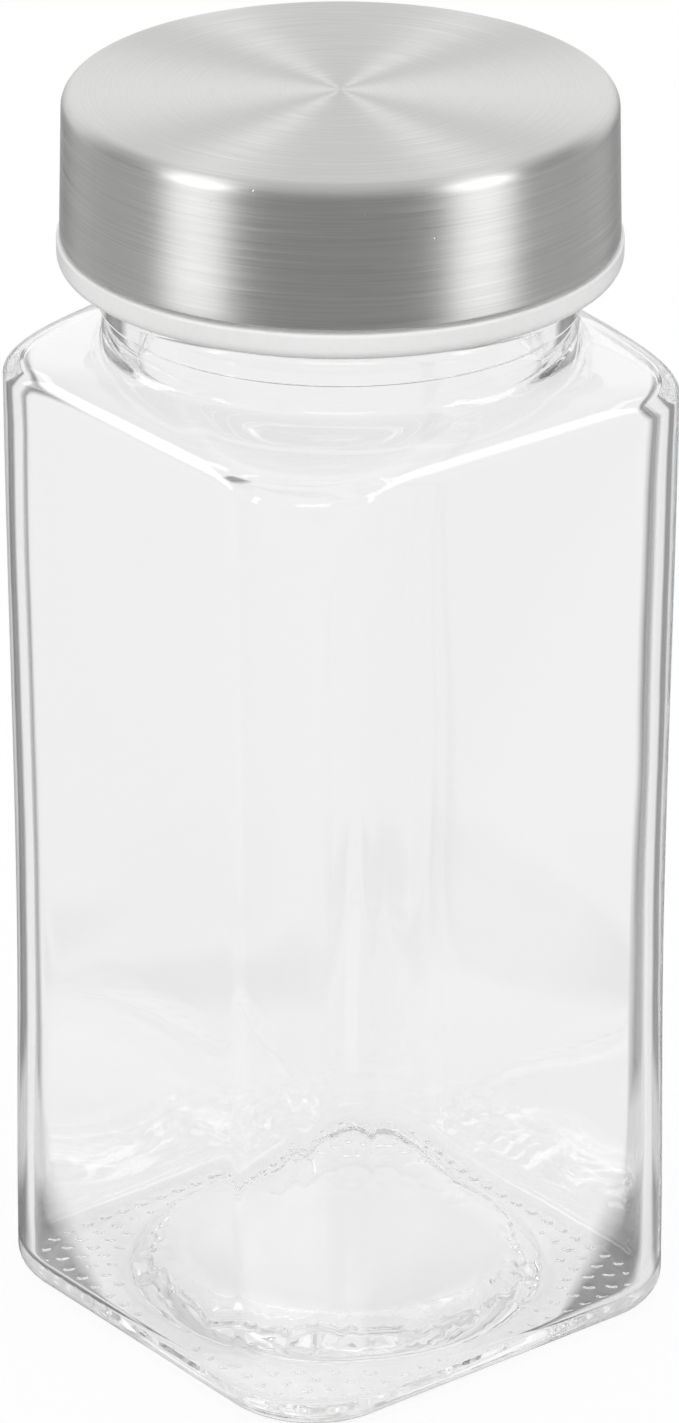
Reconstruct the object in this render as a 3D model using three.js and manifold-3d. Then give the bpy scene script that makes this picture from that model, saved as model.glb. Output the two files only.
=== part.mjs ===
// Square glass salt shaker with a sifter insert and a steel-clad screw cap.
// Millimetres, +Z up. The origin is on the table, under the middle of the base.
import * as THREE from "three";
import { mergeVertices } from "three/addons/utils/BufferGeometryUtils.js";
import Module from "manifold-3d";

const { lerp, smoothstep } = THREE.MathUtils;
const wasm = await Module();
wasm.setup();

// Glass body
const BODY_SIDE = 43.1;
const CORNER_RADIUS = 8.5;
const WALL = 2.2;
const HOLLOW_CORNER = 5.6;
const WAIST_DEPTH = 0.25;
const WAIST_HEIGHT = 34;

// Glass base: a push-up under the middle, and a thin floor that swells to a dome above it
const HEEL_RADIUS = 2.4;
const BEARING_WIDTH = 2.55;
const PUSH_UP_DEPTH = 0.8;
const FLOOR_HEIGHT = 1.7;
const FLOOR_ROUNDING = 1;
const FLOOR_RISE = 1.2;
const DOME_HEIGHT = 2.5;
const DOME_FLANK = 6;

// Glass shoulder: it leaves the body upright, slopes in, and turns upright again at the neck
const SHOULDER_HEIGHT = 80.7;
const SHOULDER_LIFT = 2.3;
const SHOULDER_RISE = 5.1;
const SHOULDER_WALL = 1.6;
const NECK_FOOT_LIFT = 1.5;

// Glass neck, with a groove between the shoulder and the bead
const NECK_RADIUS = 17.5;
const NECK_WALL = 1.9;
const LIP_ROUNDING = 0.6;
const GROOVE_PROUD = 1.1;
const GROOVE_HEIGHT = 2;
const BEAD_PROUD = 1.7;
const BEAD_HEIGHT = 2.4;
const BEAD_ROUNDING = 0.7;

// Screw thread, right-handed, with the same lead on the neck and in the cap
const THREAD_LEAD = 4.233;
const THREAD_HEIGHT = 1.1;
const THREAD_FOOT_WIDTH = 2.1;
const THREAD_CREST_WIDTH = 1;
const THREAD_TURNS = 1.15;
const THREAD_RUN_OUT = 0.1;
const THREAD_DROP = 2.8;
const THREAD_SINK = 0.5;
const CAP_THREAD_EDGE = 1.5;

// Sifter insert
const INSERT_FLANGE = 0.9;
const INSERT_FLANGE_INSET = 0.2;
const PLUG_WALL = 1;
const PLUG_DEPTH = 6.5;
const PLUG_RIB_HEIGHT = 1.2;
const SIFTER_HOLE_RADIUS = 1.4;
const SIFTER_RING_SPACING = 4.8;
const SIFTER_RINGS = 2;
const SIFTER_RING_HOLES = 6;

// Cap
const LINER = 0.8;
const PLATE = 1;
const SKIRT_WALL = 1.3;
const FLANGE_HEIGHT = 2.2;
const FLANGE_OVERHANG = 0.25;
const FLANGE_ROUNDING = 0.9;
const GRIP_RIBS = 24;
const GRIP_RIB_WIDTH = 1.2;
const GRIP_RIB_HEIGHT = 0.85;
const SHELL_THICKNESS = 0.4;
const SHELL_HEIGHT = 11.5;
const SHELL_DRAFT = 0.25;
const SHELL_EDGE_ROUNDING = 1.2;

// Clearances
const SEAT_GAP = 0.3;
const PLUG_CLEARANCE = 0.5;
const PLUG_RIB_CLEARANCE = 0.3;
const THREAD_CLEARANCE = 0.4;
const RIB_CLEARANCE = 0.3;
const BEAD_CLEARANCE = 1;
const DRILL_OVERSHOOT = 1;

// Facets
const SIDE_STEPS = 7;
const CORNER_STEPS = 7;
const ROUND_STEPS = 64;
const THREAD_STEPS = 40;
const HOLE_STEPS = 12;
const ARC_STEPS = 4;
const CURVE_STEPS = 7;
const PUSH_UP_STEPS = 3;
const DOME_STEPS = 3;

// Radii and half sides that follow from the sizes above
const BODY_HALF = BODY_SIDE / 2;
const HOLLOW_HALF = BODY_HALF - WALL;
const PUSH_UP_RADIUS = BODY_HALF - HEEL_RADIUS - BEARING_WIDTH;
const BORE_RADIUS = NECK_RADIUS - NECK_WALL;
const GROOVE_RADIUS = NECK_RADIUS + GROOVE_PROUD;
const GROOVE_DEPTH = BEAD_PROUD - GROOVE_PROUD;
const BEAD_RADIUS = NECK_RADIUS + BEAD_PROUD;
const CAP_ROOT_RADIUS = NECK_RADIUS + THREAD_HEIGHT + THREAD_CLEARANCE;
const SKIRT_RADIUS = CAP_ROOT_RADIUS + SKIRT_WALL;
const GRIP_RIB_RADIUS = SKIRT_RADIUS + GRIP_RIB_HEIGHT;
const SHELL_TOP_RADIUS = GRIP_RIB_RADIUS + RIB_CLEARANCE + SHELL_THICKNESS;
const SHELL_RIM_RADIUS = SHELL_TOP_RADIUS + SHELL_DRAFT;

// Heights in the cap, from the underside of its liner
const PLATE_UNDERSIDE = LINER + SEAT_GAP;
const PLATE_TOP = PLATE_UNDERSIDE + PLATE;
const SHELL_TOP = PLATE_TOP + SEAT_GAP + SHELL_THICKNESS;
const SHELL_RIM = SHELL_TOP - SHELL_HEIGHT;
const FLANGE_TOP = SHELL_RIM - SEAT_GAP;
const FLANGE_BOTTOM = FLANGE_TOP - FLANGE_HEIGHT;

// Heights above the table: the closed cap's flange hangs just over the bead, and the lip follows from that
const BEAD_BOTTOM = SHOULDER_HEIGHT + SHOULDER_RISE + GROOVE_HEIGHT;
const BEAD_TOP = BEAD_BOTTOM + BEAD_HEIGHT;
const CAP_SEAT = BEAD_TOP + BEAD_CLEARANCE - FLANGE_BOTTOM;
const INSERT_SEAT = CAP_SEAT - SEAT_GAP - INSERT_FLANGE;
const LIP_HEIGHT = INSERT_SEAT - SEAT_GAP;

// Solids

// A closed geometry as a solid that can be joined and cut.
function solidOf(geometry) {
  const bare = geometry.clone();
  bare.deleteAttribute("normal");
  bare.deleteAttribute("uv");
  const merged = mergeVertices(bare);
  const vertProperties = merged.getAttribute("position").array;
  const triVerts = new Uint32Array(merged.index.array);
  return new wasm.Manifold(new wasm.Mesh({ numProp: 3, vertProperties, triVerts }));
}

// A joined or cut solid as a geometry.
function geometryOf(solid) {
  const mesh = solid.getMesh();
  return closedGeometry(mesh.vertProperties, mesh.triVerts);
}

function closedGeometry(positions, indices) {
  const geometry = new THREE.BufferGeometry();
  geometry.setAttribute("position", new THREE.Float32BufferAttribute(positions, 3));
  geometry.setIndex(Array.from(indices));
  geometry.computeVertexNormals();
  return geometry;
}

// Turned shapes

// A profile of radius and height, turned about Z. It runs down the outside and back up the inside.
function turned(profile) {
  const outline = profile.toReversed().map(([radius, z]) => new THREE.Vector2(radius, z));
  return new THREE.LatheGeometry(outline, ROUND_STEPS).rotateX(Math.PI / 2);
}

// Points on an arc about [radius, z], from one angle to another in quarter turns.
function arc([radius, z], size, from, to) {
  return Array.from({ length: ARC_STEPS + 1 }, (_, i) => {
    const angle = (Math.PI / 2) * lerp(from, to, i / ARC_STEPS);
    return [radius + size * Math.cos(angle), z + size * Math.sin(angle)];
  });
}

// Square-to-round shapes

// The polar angles of one ring, closer together round the corners of the square.
function ringAngles() {
  const cornerStart = Math.atan2(BODY_HALF - CORNER_RADIUS, BODY_HALF);
  const cornerSweep = Math.PI / 2 - 2 * cornerStart;
  const quarter = [];
  for (let i = 0; i < SIDE_STEPS; i++) {
    quarter.push(cornerStart * ((2 * i) / SIDE_STEPS - 1));
  }
  for (let i = 0; i < CORNER_STEPS; i++) {
    quarter.push(cornerStart + (cornerSweep * i) / CORNER_STEPS);
  }
  return [0, 1, 2, 3].flatMap((turn) => quarter.map((angle) => angle + (turn * Math.PI) / 2));
}

// How far a square with rounded corners reaches from its middle at an angle.
function reach({ half, corner }, angle) {
  const along = Math.max(Math.abs(Math.cos(angle)), Math.abs(Math.sin(angle)));
  const across = Math.min(Math.abs(Math.cos(angle)), Math.abs(Math.sin(angle)));
  const straight = half - corner;
  if ((half * across) / along <= straight) {
    return half / along;
  }
  const middle = straight * (along + across);
  return middle + Math.sqrt(middle * middle - 2 * straight * straight + corner * corner);
}

const square = (half, corner, z) => ({ half, corner, z });
const circle = (radius, z) => ({ half: radius, corner: radius, z });

// A closed skin from a point on the axis, over each ring in turn, to another point on the axis.
function blendedLathe(firstHeight, rings, lastHeight) {
  const angles = ringAngles();
  const count = angles.length;
  const positions = [0, 0, firstHeight];
  for (const ring of rings) {
    for (const angle of angles) {
      const radius = reach(ring, angle);
      positions.push(radius * Math.cos(angle), radius * Math.sin(angle), ring.z);
    }
  }
  positions.push(0, 0, lastHeight);
  const vertex = (ring, column) => 1 + ring * count + (column % count);
  const last = 1 + rings.length * count;
  const indices = [];
  for (let j = 0; j < count; j++) {
    indices.push(0, vertex(0, j + 1), vertex(0, j));
    indices.push(vertex(rings.length - 1, j), vertex(rings.length - 1, j + 1), last);
    for (let i = 0; i + 1 < rings.length; i++) {
      indices.push(vertex(i, j), vertex(i, j + 1), vertex(i + 1, j + 1));
      indices.push(vertex(i, j), vertex(i + 1, j + 1), vertex(i + 1, j));
    }
  }
  return closedGeometry(positions, indices);
}

// Thread

// The middle of the neck's thread at a number of turns from its lower end.
const THREAD_START = LIP_HEIGHT - THREAD_DROP - THREAD_TURNS * THREAD_LEAD;
const threadMiddle = (turn) => THREAD_START + turn * THREAD_LEAD;

// A ridge up the helix, of trapezium section, whose two ends run out into the wall.
function threadRidge(wallRadius, crestRadius, firstTurn, middle) {
  const side = Math.sign(crestRadius - wallRadius);
  const footRadius = wallRadius - side * THREAD_SINK;
  const buriedRadius = wallRadius - (side * THREAD_SINK) / 2;
  const sections = Math.ceil(THREAD_TURNS * THREAD_STEPS);
  const positions = [];
  const indices = [];
  for (let i = 0; i <= sections; i++) {
    const turn = (THREAD_TURNS * i) / sections;
    const fromEnd = Math.min(turn, THREAD_TURNS - turn);
    const rise = smoothstep(fromEnd, 0, THREAD_RUN_OUT);
    const crest = lerp(buriedRadius, crestRadius, rise);
    const foot = (side * THREAD_FOOT_WIDTH) / 2;
    const top = (side * THREAD_CREST_WIDTH) / 2;
    const angle = 2 * Math.PI * (firstTurn + turn);
    const height = middle(firstTurn + turn);
    const section = [[footRadius, -foot], [footRadius, foot], [crest, top], [crest, -top]];
    for (const [radius, z] of section) {
      positions.push(radius * Math.cos(angle), radius * Math.sin(angle), height + z);
    }
  }
  for (let i = 0; i < sections; i++) {
    for (let k = 0; k < 4; k++) {
      const near = 4 * i + k;
      const next = 4 * i + ((k + 1) % 4);
      indices.push(near, next, next + 4, near, next + 4, near + 4);
    }
  }
  const end = 4 * sections;
  indices.push(0, 2, 1, 0, 3, 2);
  indices.push(end, end + 1, end + 2, end, end + 2, end + 3);
  return closedGeometry(positions, indices);
}

// Glass jar

// How far the sides are drawn in at a height between the heel and the shoulder.
function waist(z) {
  const span = z < WAIST_HEIGHT ? WAIST_HEIGHT - HEEL_RADIUS : SHOULDER_HEIGHT - WAIST_HEIGHT;
  return (WAIST_DEPTH / 2) * (1 + Math.cos((Math.PI * (z - WAIST_HEIGHT)) / span));
}

// Rings on a square wall between two heights, drawn in at the waist.
function wallRings(half, corner, from, to) {
  return Array.from({ length: CURVE_STEPS - 1 }, (_, i) => {
    const z = lerp(from, to, (i + 1) / CURVE_STEPS);
    return square(half - waist(z), corner, z);
  });
}

// Rings from a square wall up to a round neck. The curve's x goes from 0 on the wall to 1 on the neck.
function shoulderRings(half, corner, neckRadius, lift, rise) {
  const curve = new THREE.CubicBezierCurve(
    new THREE.Vector2(0, 0),
    new THREE.Vector2(0, lift),
    new THREE.Vector2(1, rise - NECK_FOOT_LIFT),
    new THREE.Vector2(1, rise),
  );
  return curve.getPoints(CURVE_STEPS).map(({ x, y }) =>
    square(lerp(half, neckRadius, x), lerp(corner, neckRadius, x), SHOULDER_HEIGHT + y),
  );
}

function glassJar() {
  const flat = BODY_HALF - HEEL_RADIUS;
  const flatCorner = CORNER_RADIUS - HEEL_RADIUS;
  const pushUp = Array.from({ length: PUSH_UP_STEPS }, (_, i) => {
    const share = (i + 1) / PUSH_UP_STEPS;
    return circle(PUSH_UP_RADIUS * share, PUSH_UP_DEPTH * (1 - share * share));
  });
  const heel = arc([0, HEEL_RADIUS], HEEL_RADIUS, -1, 0).map(([out, z]) =>
    square(flat + out, flatCorner + out, z),
  );
  const beadFoot = arc([GROOVE_RADIUS, BEAD_BOTTOM + GROOVE_DEPTH], GROOVE_DEPTH, -1, 0);
  const beadTop = arc([BEAD_RADIUS - BEAD_ROUNDING, BEAD_TOP - BEAD_ROUNDING], BEAD_ROUNDING, 0, 1);
  const outerLip = arc([NECK_RADIUS - LIP_ROUNDING, LIP_HEIGHT - LIP_ROUNDING], LIP_ROUNDING, 0, 1);
  const innerLip = arc([BORE_RADIUS + LIP_ROUNDING, LIP_HEIGHT - LIP_ROUNDING], LIP_ROUNDING, 1, 2);
  const neck = [...beadFoot, ...beadTop, [NECK_RADIUS, BEAD_TOP], ...outerLip, ...innerLip];
  const hollowShoulder = shoulderRings(
    HOLLOW_HALF,
    HOLLOW_CORNER,
    BORE_RADIUS,
    SHOULDER_LIFT - SHOULDER_WALL / 2,
    SHOULDER_RISE - SHOULDER_WALL,
  );
  const wallFoot = FLOOR_HEIGHT + FLOOR_RISE;
  const wallHalf = HOLLOW_HALF - waist(wallFoot);
  const floor = arc([0, 0], 1, 0, -1).map(([out, down]) =>
    square(wallHalf - FLOOR_ROUNDING * (1 - out), HOLLOW_CORNER, wallFoot + down * FLOOR_RISE),
  );
  const dome = Array.from({ length: DOME_STEPS + 1 }, (_, i) => {
    const share = i / DOME_STEPS;
    return circle(PUSH_UP_RADIUS - DOME_FLANK * share, FLOOR_HEIGHT + DOME_HEIGHT * share * (2 - share));
  });
  const rings = [
    ...pushUp,
    ...heel,
    ...wallRings(BODY_HALF, CORNER_RADIUS, HEEL_RADIUS, SHOULDER_HEIGHT),
    ...shoulderRings(BODY_HALF, CORNER_RADIUS, GROOVE_RADIUS, SHOULDER_LIFT, SHOULDER_RISE),
    ...neck.map(([radius, z]) => circle(radius, z)),
    ...hollowShoulder.toReversed(),
    ...wallRings(HOLLOW_HALF, HOLLOW_CORNER, SHOULDER_HEIGHT, wallFoot),
    ...floor,
    ...dome,
  ];
  const body = blendedLathe(PUSH_UP_DEPTH, rings, FLOOR_HEIGHT + DOME_HEIGHT);
  const ridge = threadRidge(NECK_RADIUS, NECK_RADIUS + THREAD_HEIGHT, 0, threadMiddle);
  return geometryOf(solidOf(body).add(solidOf(ridge)));
}

// Sifter insert, with its height measured from the underside of its flange

function shakerInsert() {
  const plugRadius = BORE_RADIUS - PLUG_CLEARANCE;
  const ribRadius = BORE_RADIUS - PLUG_RIB_CLEARANCE;
  const flangeRadius = NECK_RADIUS - INSERT_FLANGE_INSET;
  const ribTop = PLUG_RIB_HEIGHT - PLUG_DEPTH;
  const profile = [
    [0, INSERT_FLANGE],
    [flangeRadius, INSERT_FLANGE],
    [flangeRadius, 0],
    [plugRadius, 0],
    [plugRadius, ribTop + PLUG_RIB_HEIGHT],
    [ribRadius, ribTop],
    [plugRadius, -PLUG_DEPTH],
    [plugRadius - PLUG_WALL, -PLUG_DEPTH],
    [plugRadius - PLUG_WALL, 0],
    [0, 0],
  ];
  let insert = solidOf(turned(profile));
  const length = INSERT_FLANGE + 2 * DRILL_OVERSHOOT;
  for (const [x, y] of sifterPattern()) {
    const drill = new THREE.CylinderGeometry(SIFTER_HOLE_RADIUS, SIFTER_HOLE_RADIUS, length, HOLE_STEPS);
    drill.rotateX(Math.PI / 2).translate(x, y, INSERT_FLANGE / 2);
    insert = insert.subtract(solidOf(drill));
  }
  return geometryOf(insert);
}

// The middles of the sifter's holes: one on the axis, then rings that grow by six holes each.
function sifterPattern() {
  const middles = [[0, 0]];
  for (let ring = 1; ring <= SIFTER_RINGS; ring++) {
    const holes = SIFTER_RING_HOLES * ring;
    for (let i = 0; i < holes; i++) {
      const angle = (2 * Math.PI * i) / holes;
      const radius = SIFTER_RING_SPACING * ring;
      middles.push([radius * Math.cos(angle), radius * Math.sin(angle)]);
    }
  }
  return middles;
}

// Cap, with heights measured from the underside of its liner

function capLiner() {
  const radius = CAP_ROOT_RADIUS - SEAT_GAP;
  return turned([[0, LINER], [radius, LINER], [radius, 0], [0, 0]]);
}

function innerCap() {
  const flangeRadius = SHELL_RIM_RADIUS + FLANGE_OVERHANG;
  const profile = [
    [0, PLATE_TOP],
    [SKIRT_RADIUS, PLATE_TOP],
    [SKIRT_RADIUS, FLANGE_TOP],
    [flangeRadius, FLANGE_TOP],
    ...arc([flangeRadius - FLANGE_ROUNDING, FLANGE_BOTTOM + FLANGE_ROUNDING], FLANGE_ROUNDING, 0, -1),
    [CAP_ROOT_RADIUS, FLANGE_BOTTOM],
    [CAP_ROOT_RADIUS, PLATE_UNDERSIDE],
    [0, PLATE_UNDERSIDE],
  ];
  const ridgeGap = (THREAD_FOOT_WIDTH + THREAD_CREST_WIDTH) / 2 + THREAD_CLEARANCE;
  const capMiddle = (turn) => threadMiddle(turn) - ridgeGap - CAP_SEAT;
  const firstTurn = (FLANGE_BOTTOM + CAP_THREAD_EDGE - capMiddle(0)) / THREAD_LEAD;
  const ridge = threadRidge(CAP_ROOT_RADIUS, CAP_ROOT_RADIUS - THREAD_HEIGHT, firstTurn, capMiddle);
  let cap = solidOf(turned(profile)).add(solidOf(ridge));
  for (let i = 0; i < GRIP_RIBS; i++) {
    cap = cap.add(solidOf(gripRib((2 * Math.PI * i) / GRIP_RIBS)));
  }
  return geometryOf(cap);
}

// One upright rib between the skirt and the inside of the shell. It is rooted half-way into the skirt
// and the flange, and stops short of the shell's rounded edge.
function gripRib(angle) {
  const inner = SKIRT_RADIUS - SKIRT_WALL / 2;
  const bottom = FLANGE_TOP - FLANGE_HEIGHT / 2;
  const top = PLATE_TOP - SHELL_EDGE_ROUNDING;
  return new THREE.BoxGeometry(GRIP_RIB_RADIUS - inner, GRIP_RIB_WIDTH, top - bottom)
    .translate((GRIP_RIB_RADIUS + inner) / 2, 0, (top + bottom) / 2)
    .rotateZ(angle);
}

function steelCapShell() {
  const edge = [SHELL_TOP_RADIUS - SHELL_EDGE_ROUNDING, SHELL_TOP - SHELL_EDGE_ROUNDING];
  const profile = [
    [0, SHELL_TOP],
    ...arc(edge, SHELL_EDGE_ROUNDING, 1, 0),
    [SHELL_RIM_RADIUS, SHELL_RIM],
    [SHELL_RIM_RADIUS - SHELL_THICKNESS, SHELL_RIM],
    ...arc(edge, SHELL_EDGE_ROUNDING - SHELL_THICKNESS, 0, 1),
    [0, SHELL_TOP - SHELL_THICKNESS],
  ];
  return turned(profile);
}

// Assembly

function piece(name, geometry, material) {
  const mesh = new THREE.Mesh(geometry, new THREE.MeshStandardMaterial(material));
  mesh.name = name;
  return mesh;
}

const clearGlass = { color: "#eef1f0", roughness: 0.05, metalness: 0, transparent: true, opacity: 0.35 };
const whitePlastic = { color: "#f0f0ee", roughness: 0.45, metalness: 0 };
const foam = { color: "#e4e4e0", roughness: 0.8, metalness: 0 };
const translucentPlastic = { color: "#dcdcdc", roughness: 0.4, metalness: 0 };
const brushedSteel = { color: "#a9a9a8", roughness: 0.35, metalness: 1 };

const jar = new THREE.Group();
const insert = piece("shaker_insert", shakerInsert(), whitePlastic);
insert.position.z = INSERT_SEAT;
jar.add(piece("glass_jar", glassJar(), clearGlass), insert);

const cap = new THREE.Group();
cap.position.z = CAP_SEAT;
cap.add(
  piece("cap_liner", capLiner(), foam),
  piece("inner_cap", innerCap(), translucentPlastic),
  piece("steel_cap_shell", steelCapShell(), brushedSteel),
);

const saltShaker = new THREE.Group();
saltShaker.add(jar, cap);

export default saltShaker;
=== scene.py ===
"""Square glass salt shaker with a sifter insert and a steel-clad screw cap, on a white studio table."""

import logging
import math
from collections.abc import Sequence
from dataclasses import dataclass, field
from enum import Enum

import bpy
import numpy as np
from mathutils import Matrix, Vector


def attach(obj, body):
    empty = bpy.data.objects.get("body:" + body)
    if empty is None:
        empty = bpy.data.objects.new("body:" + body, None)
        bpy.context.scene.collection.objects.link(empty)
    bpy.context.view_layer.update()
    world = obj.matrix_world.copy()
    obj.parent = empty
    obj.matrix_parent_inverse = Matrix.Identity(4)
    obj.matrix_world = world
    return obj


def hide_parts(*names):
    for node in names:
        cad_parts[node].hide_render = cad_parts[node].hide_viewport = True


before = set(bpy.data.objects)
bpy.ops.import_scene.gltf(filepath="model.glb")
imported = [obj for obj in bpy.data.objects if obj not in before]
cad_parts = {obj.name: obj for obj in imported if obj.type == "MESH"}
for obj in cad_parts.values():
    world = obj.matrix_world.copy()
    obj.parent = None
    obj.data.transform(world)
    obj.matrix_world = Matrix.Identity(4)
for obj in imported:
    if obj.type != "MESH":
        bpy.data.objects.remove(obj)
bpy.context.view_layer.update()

LOG = logging.getLogger("salt_shaker")
MM = 0.001
HALF_TURN = 180.0

# Lengths in mm: two that differ by less are the same, and a turned surface's rings start this far out
SAME = 1e-6
POLE_RADIUS = 0.4


class Body(Enum):
    """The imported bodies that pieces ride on."""

    JAR = "jar"
    LINER = "liner"
    CAP = "cap"


class Slot(Enum):
    """The record's material slot names."""

    GLASS = "clear_glass"
    FOAM = "foam_liner"
    NATURAL_PLASTIC = "translucent_plastic"
    STEEL = "brushed_steel"


# Colours and nodes


def linear(hex_colour: str) -> tuple[float, float, float, float]:
    """Turn an sRGB hex colour into linear light, by the curve of the sRGB standard.

    Args:
        hex_colour: six hex digits after a hash sign.

    Returns:
        Red, green, blue and an alpha of 1, as a shader socket takes them.
    """
    encoded = np.array([int(hex_colour[i : i + 2], 16) for i in (1, 3, 5)]) / 255
    light = np.where(encoded <= 0.04045, encoded / 12.92, ((encoded + 0.055) / 1.055) ** 2.4)
    return (*light.tolist(), 1.0)


def add_node(tree: bpy.types.NodeTree, kind: str, inputs: dict, **settings: object) -> bpy.types.Node:
    """Add one node, with its settings and what goes into it.

    Args:
        tree: the tree that takes the node.
        kind: the node's type name, without the ShaderNode in front of it.
        inputs: values by the socket's name or number; a socket is linked, a node is linked by its first
            output in use, and anything else is set.
        settings: attributes of the node.

    Returns:
        The new node.
    """
    node = tree.nodes.new(f"ShaderNode{kind}")
    for name, value in settings.items():
        setattr(node, name, value)
    for key, value in inputs.items():
        if isinstance(value, bpy.types.Node):
            value = next(output for output in value.outputs if output.enabled)
        if isinstance(value, bpy.types.NodeSocket):
            tree.links.new(value, node.inputs[key])
        else:
            node.inputs[key].default_value = value
    return node


def set_stops(ramp: bpy.types.ColorRamp, stops: Sequence[tuple[float, float]]) -> None:
    """Give a colour ramp its stops.

    Args:
        ramp: a new ramp, with two stops.
        stops: two or more positions from 0 to 1, in order, each with its grey level.
    """
    while len(ramp.elements) < len(stops):
        ramp.elements.new(1.0)
    for element, (position, level) in zip(ramp.elements, stops):
        element.position = position
        element.color = (level, level, level, 1.0)


def empty_material(name: str) -> tuple[bpy.types.Material, bpy.types.NodeTree]:
    """Make a material with an empty node tree.

    Args:
        name: the material's name.

    Returns:
        The material and its tree.
    """
    material = bpy.data.materials.new(name)
    material.use_nodes = True
    material.node_tree.nodes.clear()
    return material, material.node_tree


# Surfaces on grids


def arc(centre: tuple[float, float], size: float, start: float, end: float, steps: int) -> np.ndarray:
    """Points on an arc: centre plus size times the cosine and sine of evenly spaced angles.

    Args:
        centre: radius and height of the middle, in mm.
        size: the arc's radius, in mm.
        start: first angle, in quarter turns.
        end: last angle, in quarter turns.
        steps: number of steps between them.

    Returns:
        An array of radius and height, one row a point.
    """
    angles = np.linspace(start, end, steps + 1) * (math.pi / 2)
    return np.column_stack([centre[0] + size * np.cos(angles), centre[1] + size * np.sin(angles)])


def filled_in(profile: np.ndarray, spacing: float) -> np.ndarray:
    """A polyline with extra points: each stretch is cut evenly into pieces no longer than spacing.

    Args:
        profile: points of the polyline, one row each.
        spacing: the longest stretch that is left, in mm.

    Returns:
        The points with the new ones among them.
    """
    lengths = np.linalg.norm(np.diff(profile, axis=0), axis=1)
    cuts = np.maximum(np.ceil(lengths / spacing).astype(int), 1)
    starts = np.repeat(np.arange(len(lengths)), cuts)
    shares = np.concatenate([np.arange(n) / n for n in cuts])
    inner = profile[starts] + (profile[starts + 1] - profile[starts]) * shares[:, None]
    return np.vstack([inner, profile[-1]])


def profile_lengths(profile: np.ndarray) -> np.ndarray:
    """The length along a polyline up to each of its points."""
    steps = np.linalg.norm(np.diff(profile, axis=0), axis=1)
    return np.concatenate([[0.0], np.cumsum(steps)])


def round_angles(count: int) -> np.ndarray:
    """Angles of one turn in even steps, without the last."""
    return np.linspace(0, 2 * math.pi, count, endpoint=False)


def turned(radius: np.ndarray, height: np.ndarray, angles: np.ndarray) -> np.ndarray:
    """A surface of revolution: radius times cosine and sine of the angle, at a height.

    Args:
        radius: radii in mm, one row a ring; one column, or one for each angle.
        height: heights in mm, of the same shape.
        angles: the rings' angles in radians.

    Returns:
        Points in mm, as rings by angles by 3.
    """
    radius, height, angle = np.broadcast_arrays(radius, height, angles[None, :])
    return np.stack([radius * np.cos(angle), radius * np.sin(angle), height], axis=-1)


def ring_faces(first: int, rings: int, count: int) -> np.ndarray:
    """Quads between rings that follow each other and close on themselves.

    Args:
        first: number of the first ring's first vertex.
        rings: number of rings.
        count: number of vertices in a ring.

    Returns:
        Four vertex numbers for each quad.
    """
    ring, column = np.meshgrid(np.arange(rings - 1), np.arange(count), indexing="ij")
    here = first + ring * count + column
    beside = first + ring * count + (column + 1) % count
    return np.stack([here, beside, beside + count, here + count], axis=-1).reshape(-1, 4)


def pole_faces(pole: int, first: int, count: int, opens: bool) -> np.ndarray:
    """Triangles between a point on the axis and a ring.

    Args:
        pole: the point's vertex number.
        first: number of the ring's first vertex.
        count: number of vertices in the ring.
        opens: True where the surface starts at the point, False where it ends there.

    Returns:
        Three vertex numbers for each triangle.
    """
    here = first + np.arange(count)
    beside = first + (np.arange(count) + 1) % count
    near, far = (beside, here) if opens else (here, beside)
    return np.column_stack([np.full(count, pole), near, far])


def stitch_faces(fine: int, coarse: int, count: int, ratio: int) -> np.ndarray:
    """Triangles from a ring to one with fewer vertices: half of each fine run goes to either coarse end.

    Args:
        fine: number of the fine ring's first vertex.
        coarse: number of the coarse ring's first vertex.
        count: number of vertices in the coarse ring.
        ratio: fine vertices for each coarse one.

    Returns:
        Three vertex numbers for each triangle.
    """
    here = coarse + np.arange(count)
    beside = coarse + (np.arange(count) + 1) % count
    run = fine + (ratio * np.arange(count)[:, None] + np.arange(ratio + 1)) % (ratio * count)
    middle = ratio // 2
    near = [np.column_stack([run[:, k], run[:, k + 1], here]) for k in range(middle)]
    far = [np.column_stack([run[:, k], run[:, k + 1], beside]) for k in range(middle, ratio)]
    bridge = np.column_stack([run[:, middle], beside, here])
    return np.vstack([*near, bridge, *far])


def mesh_object(name: str, points: np.ndarray, faces: list[np.ndarray]) -> bpy.types.Object:
    """Put a smooth surface into a new object at the origin.

    Args:
        name: the object's name.
        points: vertices in mm.
        faces: arrays of vertex numbers, one row a face.

    Returns:
        The object, with its place in its mesh.
    """
    mesh = bpy.data.meshes.new(name)
    mesh.from_pydata((points * MM).tolist(), [], [face for block in faces for face in block.tolist()])
    mesh.shade_smooth()
    mesh.update()
    shape = bpy.data.objects.new(name, mesh)
    bpy.context.scene.collection.objects.link(shape)
    return shape


def turned_object(name: str, grid: np.ndarray, first_pole: float, last_pole: float) -> bpy.types.Object:
    """A closed surface from a point on the axis, over rings, to another point on the axis.

    Args:
        name: the object's name.
        grid: points in mm, as rings by angles by 3.
        first_pole: height of the point before the first ring, in mm.
        last_pole: height of the point after the last ring, in mm.

    Returns:
        The object.
    """
    rings, count = grid.shape[:2]
    points = np.vstack([grid.reshape(-1, 3), [[0, 0, first_pole], [0, 0, last_pole]]])
    last = rings * count
    faces = [
        ring_faces(0, rings, count),
        pole_faces(last, 0, count, True),
        pole_faces(last + 1, last - count, count, False),
    ]
    return mesh_object(name, points, faces)


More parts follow.
